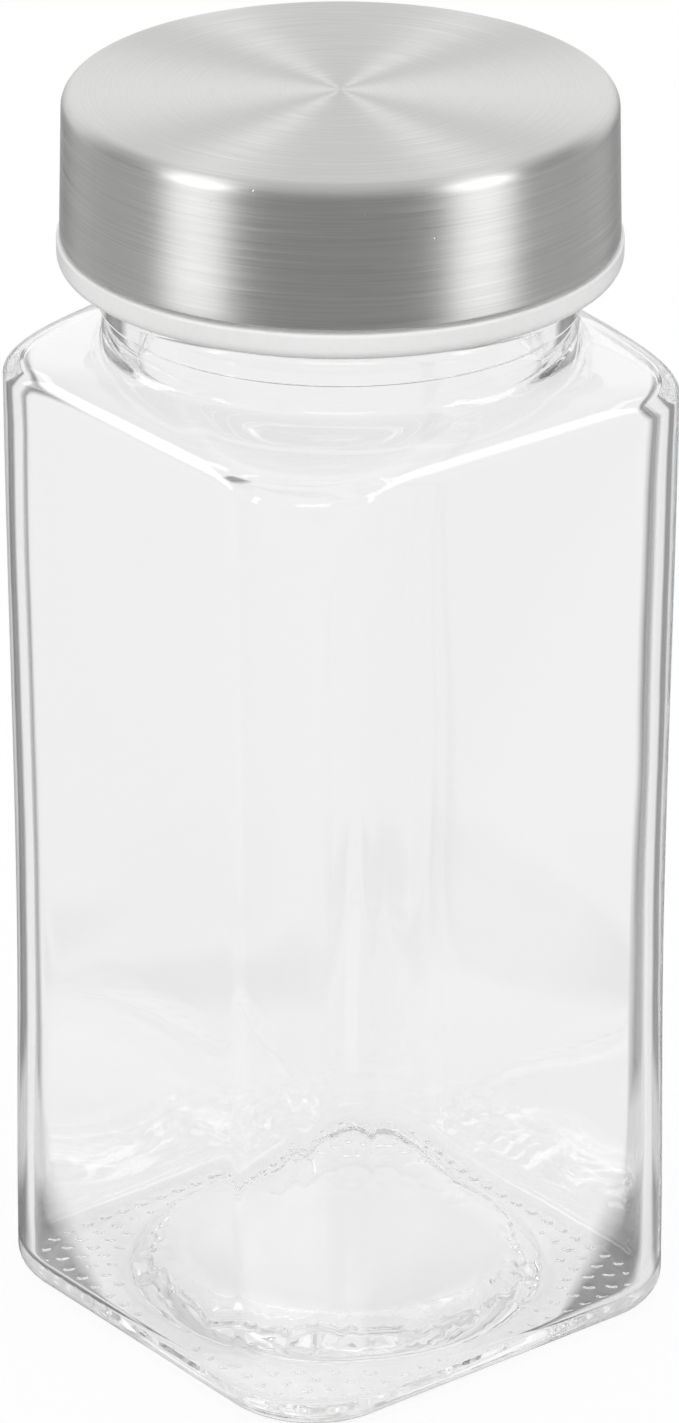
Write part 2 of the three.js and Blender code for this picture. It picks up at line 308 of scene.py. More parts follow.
def finish_piece(
    piece: bpy.types.Object, material: bpy.types.Material, body: Body, node: str
) -> None:
    """Dress a piece, put it on the body that it rides on and hide the CAD node that it stands for.

    Args:
        piece: the new object.
        material: its material.
        body: the body that it moves with.
        node: the CAD node that it replaces.
    """
    piece.data.materials.append(material)
    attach(piece, body.value)
    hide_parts(node)
    LOG.info("%s: %d faces on %s", piece.name, len(piece.data.polygons), body.value)


# Finishes


@dataclass(frozen=True)
class SodaLimeGlass:
    """Clear soda-lime glass, pressed and blown: bright and nearly colourless, with a faint mould ripple."""

    name: str = "clear_soda_lime_glass_blown"
    colour: str = "#fefefe"
    refraction: float = 1.52
    ripple_width: float = 9.0
    ripple_height: float = 0.03
    ripple_detail: float = 1.0

    def material(self) -> bpy.types.Material:
        """Make the glass.

        Returns:
            A material that stays plain glass in the export.
        """
        material, tree = empty_material(self.name)
        place = add_node(tree, "TexCoord", {})
        spot = {"Vector": place.outputs["Object"], "Scale": 1 / (self.ripple_width * MM)}
        ripple = add_node(tree, "TexNoise", {**spot, "Detail": self.ripple_detail})
        height = self.ripple_height * MM
        bump = add_node(tree, "Bump", {"Height": ripple, "Strength": 1.0, "Distance": height})
        glass = add_node(
            tree,
            "BsdfPrincipled",
            {
                "Base Color": linear(self.colour),
                "Roughness": 0.0,
                "IOR": self.refraction,
                "Transmission Weight": 1.0,
                "Normal": bump,
            },
        )
        add_node(tree, "OutputMaterial", {"Surface": glass})
        return material


@dataclass(frozen=True)
class BrushedSteel:
    """Drawn stainless steel, brushed in rings: grey, with highlights that fan out across the brush lines.

    Real brush lines are too fine to draw, so these are as wide as shows. A few tiny specks are pressed in.
    """

    name: str = "stainless_steel_brushed_in_rings"
    colour_low: str = "#c4c4c3"
    colour_high: str = "#f2f2f1"
    roughness_low: float = 0.36
    roughness_high: float = 0.52
    anisotropy: float = 0.9
    line_width: float = 0.3
    line_share: float = 1.6
    line_height: float = 0.006
    line_detail: float = 3.0
    line_contrast: float = 0.65
    noise_low: float = 0.25
    noise_high: float = 0.75
    speck_spacing: float = 3.5
    speck_size: float = 0.12
    speck_height: float = 0.03
    uv: str = "brush"

    def material(self) -> bpy.types.Material:
        """Make the steel; the brush map runs across the lines in u and round them in v.

        Returns:
            The material.
        """
        material, tree = empty_material(self.name)
        across = add_node(tree, "UVMap", {}, uv_map=self.uv)
        split = add_node(tree, "SeparateXYZ", {"Vector": across})
        place = add_node(tree, "TexCoord", {})
        level = (1.0, 1.0, 0.0)
        flat = add_node(tree, "VectorMath", {0: place.outputs["Object"], 1: level}, operation="MULTIPLY")
        heading = add_node(tree, "VectorMath", {0: flat}, operation="NORMALIZE")
        turn = add_node(tree, "SeparateXYZ", {"Vector": heading})
        line = add_node(tree, "Math", {0: split.outputs["X"], 1: 1 / self.line_width}, operation="MULTIPLY")
        spot = add_node(tree, "CombineXYZ", {"X": line, "Y": turn.outputs["X"], "Z": turn.outputs["Y"]})
        lines = add_node(
            tree,
            "TexNoise",
            {
                "Vector": spot,
                "Scale": self.line_share,
                "Detail": self.line_detail,
                "Roughness": self.line_contrast,
            },
        )
        shades = {"A": linear(self.colour_low), "B": linear(self.colour_high)}
        colour = add_node(tree, "Mix", {"Factor": lines, **shades}, data_type="RGBA")
        roughness = add_node(
            tree,
            "MapRange",
            {
                "Value": lines,
                "From Min": self.noise_low,
                "From Max": self.noise_high,
                "To Min": self.roughness_low,
                "To Max": self.roughness_high,
            },
        )
        height = self.line_height * MM
        bump = add_node(tree, "Bump", {"Height": lines, "Strength": 1.0, "Distance": height})
        dust = add_node(tree, "TexVoronoi", {"Vector": across, "Scale": 1 / self.speck_spacing})
        rim = self.speck_size / self.speck_spacing
        speck = add_node(tree, "MapRange", {"Value": dust, "From Max": rim, "To Min": 1.0, "To Max": 0.0})
        dented = add_node(
            tree,
            "Bump",
            {"Height": speck, "Strength": 1.0, "Distance": self.speck_height * MM, "Normal": bump},
        )
        tangent = add_node(tree, "Tangent", {}, direction_type="UV_MAP", uv_map=self.uv)
        steel = add_node(
            tree,
            "BsdfPrincipled",
            {
                "Base Color": colour,
                "Metallic": 1.0,
                "Roughness": roughness,
                "Anisotropic": self.anisotropy,
                "Tangent": tangent,
                "Normal": dented,
            },
        )
        add_node(tree, "OutputMaterial", {"Surface": steel})
        return material


@dataclass(frozen=True)
class MouldedPlastic:
    """Injection-moulded plastic: even and slightly waxy, with a fine grain from the mould."""

    name: str
    colour_low: str
    colour_high: str
    roughness: float
    milkiness: float
    depth: float
    grain_width: float
    grain_height: float
    grain_detail: float = 3.0
    refraction: float = 1.49

    def material(self) -> bpy.types.Material:
        """Make the plastic.

        Returns:
            The material.
        """
        material, tree = empty_material(self.name)
        place = add_node(tree, "TexCoord", {})
        spot = {"Vector": place.outputs["Object"], "Scale": 1 / (self.grain_width * MM)}
        grain = add_node(tree, "TexNoise", {**spot, "Detail": self.grain_detail})
        shades = {"A": linear(self.colour_low), "B": linear(self.colour_high)}
        colour = add_node(tree, "Mix", {"Factor": grain, **shades}, data_type="RGBA")
        height = self.grain_height * MM
        bump = add_node(tree, "Bump", {"Height": grain, "Strength": 1.0, "Distance": height})
        plastic = add_node(
            tree,
            "BsdfPrincipled",
            {
                "Base Color": colour,
                "Roughness": self.roughness,
                "IOR": self.refraction,
                "Subsurface Weight": self.milkiness,
                "Subsurface Radius": (self.depth * MM,) * 3,
                "Subsurface Scale": 1.0,
                "Normal": bump,
            },
        )
        add_node(tree, "OutputMaterial", {"Surface": plastic})
        return material


NATURAL_POLYPROPYLENE = MouldedPlastic(
    "natural_polypropylene_moulded", "#f4f4f3", "#fbfbfa", 0.35, 0.4, 2.0, 0.6, 0.002
)
WHITE_POLYPROPYLENE = MouldedPlastic(
    "white_polypropylene_moulded", "#e9e9e6", "#f3f3f0", 0.42, 0.1, 1.0, 0.5, 0.004
)
FOAM = MouldedPlastic("polyethylene_foam_sheet", "#d9d9d4", "#ecece7", 0.75, 0.1, 0.6, 0.35, 0.06)


# Screw thread


@dataclass(frozen=True)
class Thread:
    """One ridge up a right-hand helix, of trapezium section, that runs out at both ends."""

    start: float
    first_turn: float = 0.0
    lead: float = 4.233
    height: float = 1.1
    foot_width: float = 2.1
    crest_width: float = 1.0
    turns: float = 1.15
    run_out: float = 0.1

    def ridge(self, angle: np.ndarray, height: np.ndarray) -> np.ndarray:
        """How far the ridge stands out at points of the wall.

        For each turn, the share is 1 within the crest's width of the helix and falls evenly to 0 at the
        foot's width, times a smooth step from each end of the thread.

        Args:
            angle: angles round the axis, in radians.
            height: heights in mm.

        Returns:
            The share of the full height, from 0 to 1.
        """
        share = np.zeros(np.broadcast(angle, height).shape)
        lowest = math.floor(self.first_turn) - 1
        for turn in range(lowest, lowest + math.ceil(self.turns) + 3):
            along = angle / (2 * math.pi) + turn - self.first_turn
            middle = self.start + self.lead * (along + self.first_turn)
            slope = (self.foot_width - self.crest_width) / 2
            section = np.clip((self.foot_width / 2 - np.abs(height - middle)) / slope, 0, 1)
            ends = np.clip(np.minimum(along, self.turns - along) / self.run_out, 0, 1)
            share = np.maximum(share, section * ends * ends * (3 - 2 * ends))
        return share


# Jar


# Slow waves of the blown inside: share, waves round the wall, turn for each mm of height, start
INSIDE_WAVES = ((0.45, 3, 0.11, 0.7), (0.35, 5, -0.19, 2.1), (0.20, 2, 0.37, 4.0))

# Waves of the fold line on the floor: size in mm, waves round the floor, start
FOLD_WAVES = (
    (0.35, 4, 0.6),
    (0.30, 7, 2.3),
    (0.18, 17, 1.1),
    (0.12, 29, 4.4),
    (0.10, 47, 0.2),
    (0.07, 71, 3.0),
)


@dataclass
class Jar:
    """The glass jar and its sifter insert; sizes in mm, angles in radians."""

    # Body
    side: float = 43.1
    corner: float = 8.5
    wall: float = 2.2
    waist_depth: float = 0.25
    waist_height: float = 34.0
    hollow_corner: float = 5.6
    hollow_corner_more: float = 1.2
    top_corner_more: float = 2.4
    top_corner_fade: float = 8.0
    seam_angle: float = 0.785
    seam_height: float = 0.03
    seam_width: float = 0.6
    ripple: float = 0.06

    # Base, with its dots outside and its dome inside
    heel: float = 2.4
    bearing_width: float = 2.55
    push_up: float = 0.8
    dot_radius: float = 0.55
    dot_height: float = 0.22
    dot_spacing: float = 1.9
    row_spacing: float = 1.75
    floor_height: float = 1.7
    floor_rounding: float = 1.0
    floor_rise: float = 1.2
    dome_radius: float = 16.6
    dome_height: float = 2.5
    dome_flank: float = 6.0
    dome_margin: float = 0.25
    dome_lean: float = 6.0
    dome_lean_height: float = 2.0
    dome_lean_fade: float = 15.0
    dome_lean_angle: float = 0.785
    dome_lean_spread: float = 0.34
    ridge_inset: float = 2.0
    ridge_width: float = 0.24
    ridge_height: float = 0.45
    ridge_least: float = 0.35
    ridge_turn: float = 0.6

    # Shoulder and neck
    shoulder_height: float = 80.7
    shoulder_lift: float = 2.3
    shoulder_rise: float = 5.1
    shoulder_wall: float = 1.6
    neck_foot_lift: float = 1.5
    neck_radius: float = 17.5
    neck_wall: float = 1.9
    lip_height: float = 100.9
    lip_rounding: float = 0.6
    groove_proud: float = 1.1
    groove_height: float = 2.0
    groove_fillet: float = 0.2
    bead_proud: float = 1.7
    bead_height: float = 2.4
    bead_rounding: float = 0.7
    thread: Thread = field(default_factory=lambda: Thread(93.232))

    # Grid: columns in a ring, how many more the base has, and steps along each stretch of the profile
    columns: int = 256
    base_ratio: int = 3
    corner_pull: float = 14.0
    outline_points: int = 20001
    dot_line_points: int = 4001
    cup_steps: int = 5
    band_steps: int = 32
    rounding_steps: int = 10
    wall_steps: int = 26
    hollow_steps: int = 22
    fillet_steps: int = 4
    bead_steps: int = 6
    lip_steps: int = 5
    thread_spacing: float = 0.2
    rim_steps: int = 3
    flank_steps: int = 5
    ridge_steps: int = 6
    dome_steps: int = 12

    @property
    def half(self) -> float:
        """Half the body's side."""
        return self.side / 2

    @property
    def flat_half(self) -> float:
        """Half the side of the flat underside, inside the heel's rounding."""
        return self.half - self.heel

    @property
    def flat_corner(self) -> float:
        """Corner radius of the flat underside."""
        return self.corner - self.heel

    @property
    def push_up_radius(self) -> float:
        """Radius of the push-up under the base."""
        return self.flat_half - self.bearing_width

    @property
    def bore(self) -> float:
        """Inner radius of the neck."""
        return self.neck_radius - self.neck_wall

    @property
    def groove_radius(self) -> float:
        """Radius of the groove between the shoulder and the bead."""
        return self.neck_radius + self.groove_proud

    @property
    def bead_radius(self) -> float:
        """Outer radius of the bead on the neck."""
        return self.neck_radius + self.bead_proud

    def neck_profile(self) -> np.ndarray:
        """The outside of the neck, from the groove over the bead to the lip's top.

        Returns:
            An array of radius and height, one row a point, close enough together for the thread.
        """
        bead_bottom = self.shoulder_height + self.shoulder_rise + self.groove_height
        bead_top = bead_bottom + self.bead_height
        fillet, rounding, lip = self.groove_fillet, self.bead_rounding, self.lip_rounding
        under = self.bead_radius - self.groove_radius - fillet
        profile = np.vstack(
            [
                arc((self.groove_radius + fillet, bead_bottom - fillet), fillet, 2, 1, self.fillet_steps),
                arc((self.bead_radius - under, bead_bottom + under), under, -1, 0, self.bead_steps),
                arc((self.bead_radius - rounding, bead_top - rounding), rounding, 0, 1, self.bead_steps),
                arc((self.neck_radius + fillet, bead_top + fillet), fillet, 3, 2, self.fillet_steps),
                arc((self.neck_radius - lip, self.lip_height - lip), lip, 0, 1, self.lip_steps),
            ]
        )
        return filled_in(profile, self.thread_spacing)

    @staticmethod
    def reach(half: np.ndarray, corner: np.ndarray, angles: np.ndarray) -> np.ndarray:
        """How far a square with rounded corners reaches from its middle.

        On a straight side that is half over the larger of cosine and sine; in a corner it is the far
        crossing of the ray with the corner's circle.

        Args:
            half: half sides in mm, one row a ring; one column, or one for each angle.
            corner: corner radii in mm, of a shape that fits.
            angles: angles in radians.

        Returns:
            Distances in mm, as rings by angles.
        """
        along = np.maximum(np.abs(np.cos(angles)), np.abs(np.sin(angles)))[None, :]
        across = np.minimum(np.abs(np.cos(angles)), np.abs(np.sin(angles)))[None, :]
        straight = half - corner
        middle = straight * (along + across)
        inside = np.maximum(middle * middle - 2 * straight * straight + corner * corner, 0)
        return np.where(half * across / along <= straight, half / along, middle + np.sqrt(inside))

    def ring_angles(self, count: int) -> np.ndarray:
        """Angles of a ring, evenly spaced by length along the body plus what it turns by.

        Args:
            count: number of angles; a multiple of 8.

        Returns:
            Angles in radians.
        """
        dense = np.linspace(0, 2 * math.pi, self.outline_points)
        reach = self.reach(self.half, self.corner, dense)[0]
        ring = np.column_stack([reach * np.cos(dense), reach * np.sin(dense)])
        steps = np.diff(ring, axis=0)
        length = np.linalg.norm(steps, axis=1)
        heading = np.unwrap(np.arctan2(steps[:, 1], steps[:, 0]))
        turning = np.abs(np.diff(heading, append=heading[-1]))
        weight = np.concatenate([[0.0], np.cumsum(length + self.corner_pull * turning)])
        return np.interp(np.linspace(0, weight[-1], count, endpoint=False), weight, dense)

    def waist(self, z: np.ndarray) -> np.ndarray:
        """How far the sides are drawn in at a height: a raised cosine about the waist."""
        below, above = self.waist_height - self.heel, self.shoulder_height - self.waist_height
        span = np.where(z < self.waist_height, below, above)
        return self.waist_depth / 2 * (1 + np.cos(math.pi * (z - self.waist_height) / span))

    def shoulder(
        self, half: float, corner: float, neck: float, lift: float, rise: float, steps: int
    ) -> np.ndarray:
        """Rings from the square wall up to the round neck, along a cubic curve.

        Args:
            half: half side at the wall, in mm.
            corner: corner radius at the wall, in mm.
            neck: radius at the neck, in mm.
            lift: how far the curve starts straight up, in mm.
            rise: height of the curve, in mm.
            steps: number of steps along it.

        Returns:
            Half side, corner radius and height of each ring.
        """
        t = np.linspace(0, 1, steps + 1)
        share = 3 * (1 - t) * t**2 + t**3
        up = 3 * (1 - t) ** 2 * t * lift + 3 * (1 - t) * t**2 * (rise - self.neck_foot_lift) + t**3 * rise
        return np.column_stack(
            [half + (neck - half) * share, corner + (neck - corner) * share, self.shoulder_height + up]
        )

    def wall_rings(self, half: float, corner: float, start: float, end: float, steps: int) -> np.ndarray:
        """Rings up or down a square wall, drawn in at the waist.

        Args:
            half: half side before it is drawn in, in mm.
            corner: corner radius, in mm.
            start: first height, in mm.
            end: last height, in mm.
            steps: number of steps between them.

        Returns:
            Half side, corner radius and height of each ring.
        """
        z = np.linspace(start, end, steps + 1)
        return np.column_stack([half - self.waist(z), np.full(len(z), corner), z])

    def stipple(self, x: np.ndarray, y: np.ndarray) -> np.ndarray:
        """Height of the bearing dots: one minus the squared share of a dot's radius, squared.

        The dots stand in rows that follow the edge of the underside, every second row shifted by half a
        step, wherever the push-up leaves room.

        Args:
            x: positions in mm.
            y: positions in mm.

        Returns:
            The share of a dot's full height, from 0 to 1.
        """
        dense = np.linspace(0, 2 * math.pi, self.dot_line_points)
        middles = []
        inset = self.dot_radius
        row = 0
        while inset < self.flat_corner:
            reach = self.reach(self.flat_half - inset, self.flat_corner - inset, dense)[0]
            ring = np.column_stack([reach * np.cos(dense), reach * np.sin(dense)])
            length = profile_lengths(ring)
            count = int(length[-1] // self.dot_spacing)
            at = (np.arange(count) + row % 2 / 2) * length[-1] / count
            spots = np.column_stack([np.interp(at, length, ring[:, 0]), np.interp(at, length, ring[:, 1])])
            middles.append(spots[np.hypot(*spots.T) > self.push_up_radius + self.dot_radius])
            inset += self.row_spacing
            row += 1
        middles = np.vstack(middles)
        share = np.zeros(x.shape)
        for middle in middles:
            distance = ((x - middle[0]) ** 2 + (y - middle[1]) ** 2) / self.dot_radius**2
            share = np.maximum(share, np.clip(1 - distance, 0, 1) ** 2)
        return share

    def base_grid(self, angles: np.ndarray) -> np.ndarray:
        """The underside and heel: push-up, bearing band with its dots, and a quarter round.

        Args:
            angles: the fine rings' angles.

        Returns:
            Points in mm, as rings by angles by 3.
        """
        share = np.linspace(0, 1, self.cup_steps + 1)[1:]
        cup = np.column_stack(
            [
                self.push_up_radius * share,
                self.push_up_radius * share,
                self.dot_height + (self.push_up - self.dot_height) * (1 - share**2),
            ]
        )
        blend = np.linspace(0, 1, self.band_steps + 1)[1:]
        band = np.column_stack(
            [
                self.push_up_radius + (self.flat_half - self.push_up_radius) * blend,
                self.push_up_radius + (self.flat_corner - self.push_up_radius) * blend,
                np.full(len(blend), self.dot_height),
            ]
        )
        out = arc((0, 0), 1, -1, 0, self.rounding_steps)[1:]
        heel = np.column_stack(
            [
                self.flat_half + self.heel * out[:, 0],
                self.flat_corner + self.heel * out[:, 0],
                self.dot_height + (self.heel - self.dot_height) * (1 + out[:, 1]),
            ]
        )
        rings = np.vstack([cup, band, heel])
        grid = turned(self.reach(rings[:, :1], rings[:, 1:2], angles), rings[:, 2:], angles)
        rows = slice(len(cup), len(cup) + len(band))
        grid[rows, :, 2] -= self.dot_height * self.stipple(grid[rows, :, 0], grid[rows, :, 1])
        return grid

    def unevenness(self, angle: np.ndarray, z: np.ndarray) -> np.ndarray:
        """How uneven the blown inside is: a sum of slow waves round the wall and up it, from -1 to 1."""
        return sum(
            share * np.sin(waves * angle + climb * z + start) for share, waves, climb, start in INSIDE_WAVES
        )

    def settled(self, angles: np.ndarray) -> np.ndarray:
        """How much glass settled towards an angle: a bell curve about the fullest corner, from 0 to 1."""
        away = (angles - self.dome_lean_angle + math.pi) % (2 * math.pi) - math.pi
        return np.exp(-((away / self.dome_lean_spread) ** 2))

    def floor_middle(
        self, outline: np.ndarray, edge: np.ndarray, angles: np.ndarray
    ) -> tuple[np.ndarray, np.ndarray]:
        """The cavity's floor inside its rounded edge: a thin rim round a dome of thicker glass.

        The dome rises from its foot as one minus the square of what is left of its flank. It is wider
        towards one corner, where the glass settled. A thin ridge runs along a wavy line on it.

        Args:
            outline: radii of the last ring before the floor, in mm.
            edge: heights of that ring, in mm.
            angles: the rings' angles.

        Returns:
            Radii and heights in mm, both as rings by angles.
        """
        leaning = self.dome_radius + self.dome_lean * self.settled(angles)
        foot = np.minimum(leaning, outline - self.dome_margin)
        waves = sum(size * np.sin(count * angles + start) for size, count, start in FOLD_WAVES)
        line = foot - self.ridge_inset + waves
        rim = outline + (foot - outline) * np.linspace(0, 1, self.rim_steps + 1)[1:, None]
        fold = line + self.ridge_width
        outer = foot + (fold - foot) * np.linspace(0, 1, self.flank_steps + 1)[1:, None]
        across = np.linspace(1, -1, self.ridge_steps + 1)[1:, None]
        ridge = line + self.ridge_width * across
        inner = ridge[-1] * np.linspace(1, 0, self.dome_steps + 1)[1:-1, None]
        reach = np.vstack([rim, outer, ridge, inner])
        left = np.clip((reach - foot + self.dome_flank) / self.dome_flank, 0, 1)
        top = self.floor_height + self.dome_height
        height = edge + (top - edge) * (1 - left**2)
        swell = ((1 + np.sin(2 * angles + self.ridge_turn)) / 2) ** 2
        strength = self.ridge_least + (1 - self.ridge_least) * swell
        first = len(rim) + len(outer)
        height[first : first + len(ridge)] += self.ridge_height * strength * (1 - across**2) ** 2
        return reach, height

    def body_grid(self, angles: np.ndarray) -> np.ndarray:
        """Everything above the heel: outside up to the lip, then the inside down to its floor.

        Args:
            angles: the rings' angles.

        Returns:
            Points in mm, as rings by angles by 3.
        """
        steps = self.wall_steps
        outer_wall = self.wall_rings(self.half, self.corner, self.heel, self.shoulder_height, steps)[1:]
        outer_shoulder = self.shoulder(
            self.half, self.corner, self.groove_radius, self.shoulder_lift, self.shoulder_rise, steps
        )[1:]
        lip = self.lip_rounding
        inner_lip = arc((self.bore + lip, self.lip_height - lip), lip, 1, 2, self.lip_steps)
        neck = np.vstack([self.neck_profile(), inner_lip])
        hollow_half = self.half - self.wall
        hollow_corner = self.hollow_corner
        inner_shoulder = self.shoulder(
            hollow_half,
            hollow_corner,
            self.bore,
            self.shoulder_lift - self.shoulder_wall / 2,
            self.shoulder_rise - self.shoulder_wall,
            self.hollow_steps,
        )[::-1]
        foot = self.floor_height + self.floor_rise
        steps = self.hollow_steps
        inner_wall = self.wall_rings(hollow_half, hollow_corner, self.shoulder_height, foot, steps)[1:]
        wall_half = inner_wall[-1, 0]
        floor_half = wall_half - self.floor_rounding
        out = arc((0, 0), 1, 0, -1, self.rounding_steps)[1:]
        floor = np.column_stack(
            [
                floor_half + (wall_half - floor_half) * out[:, 0],
                np.full(len(out), hollow_corner),
                foot + self.floor_rise * out[:, 1],
            ]
        )
        neck_rings = np.column_stack([neck[:, 0], neck[:, 0], neck[:, 1]])
        rings = np.vstack([outer_wall, outer_shoulder, neck_rings, inner_shoulder, inner_wall, floor])
        first_inside = len(outer_wall) + len(outer_shoulder) + len(neck_rings)
        corner = np.repeat(rings[:, 1:2], len(angles), axis=1)
        share = np.clip((rings[first_inside:, :1] - self.bore) / (hollow_half - self.bore), 0, 1)
        down = self.shoulder_height - rings[first_inside:, 2:]
        near_top = np.clip(1 - down / self.top_corner_fade, 0, 1) ** 2
        more = self.hollow_corner_more + self.top_corner_more * near_top
        corner[first_inside:] += more * share * np.cos(angles - self.seam_angle) ** 2
        reach = self.reach(rings[:, :1], corner, angles)
        away = np.abs((angles - self.seam_angle + math.pi / 2) % math.pi - math.pi / 2) * self.half
        seam = self.seam_height * np.exp(-((away / self.seam_width) ** 2))
        reach[: len(outer_wall)] += seam
        height = np.repeat(rings[:, 2:], len(angles), axis=1)
        threaded = np.abs(rings[:, 0] - self.neck_radius) < SAME
        reach[threaded] += self.thread.height * self.thread.ridge(angles[None, :], rings[threaded, 2:])
        blown = slice(first_inside + len(inner_shoulder), None)
        low = np.clip(1 - (rings[blown, 2:] - foot) / self.dome_lean_fade, 0, 1) ** 2
        height[blown] += self.dome_lean_height * low * self.settled(angles)
        reach[blown] += self.ripple * self.unevenness(angles[None, :], rings[blown, 2:])
        middle_reach, middle_height = self.floor_middle(reach[-1], height[-1], angles)
        return turned(np.vstack([reach, middle_reach]), np.vstack([height, middle_height]), angles)

    def build_glass(self) -> bpy.types.Object:
        """Make the glass jar: a fine skin under the base, stitched to a coarser one for the rest.

        Returns:
            The jar's object.
        """
        fine_angles = self.ring_angles(self.columns * self.base_ratio)
        base = self.base_grid(fine_angles)
        body = self.body_grid(fine_angles[:: self.base_ratio])
        base_count, body_count = base.shape[1], body.shape[1]
        body_start = base.shape[0] * base_count
        poles = body_start + body.shape[0] * body_count
        points = np.vstack(
            [
                base.reshape(-1, 3),
                body.reshape(-1, 3),
                [[0, 0, self.push_up], [0, 0, body[-1, :, 2].mean()]],
            ]
        )
        faces = [
            ring_faces(0, base.shape[0], base_count),
            ring_faces(body_start, body.shape[0], body_count),
            stitch_faces(body_start - base_count, body_start, body_count, self.base_ratio),
            pole_faces(poles, 0, base_count, True),
            pole_faces(poles + 1, poles - body_count, body_count, False),
        ]
        return mesh_object("jar_glass", points, faces)

    def dress(self) -> None:
        """Make the jar's glass, give it and the insert their finishes and put the glass on the jar's body.
        """
        finish_piece(self.build_glass(), SodaLimeGlass().material(), Body.JAR, "glass_jar")
        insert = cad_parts["shaker_insert"]
        insert.data.materials.clear()
        insert.data.materials.append(WHITE_POLYPROPYLENE.material())
        LOG.info("%s: keeps its CAD mesh", insert.name)


# Cap


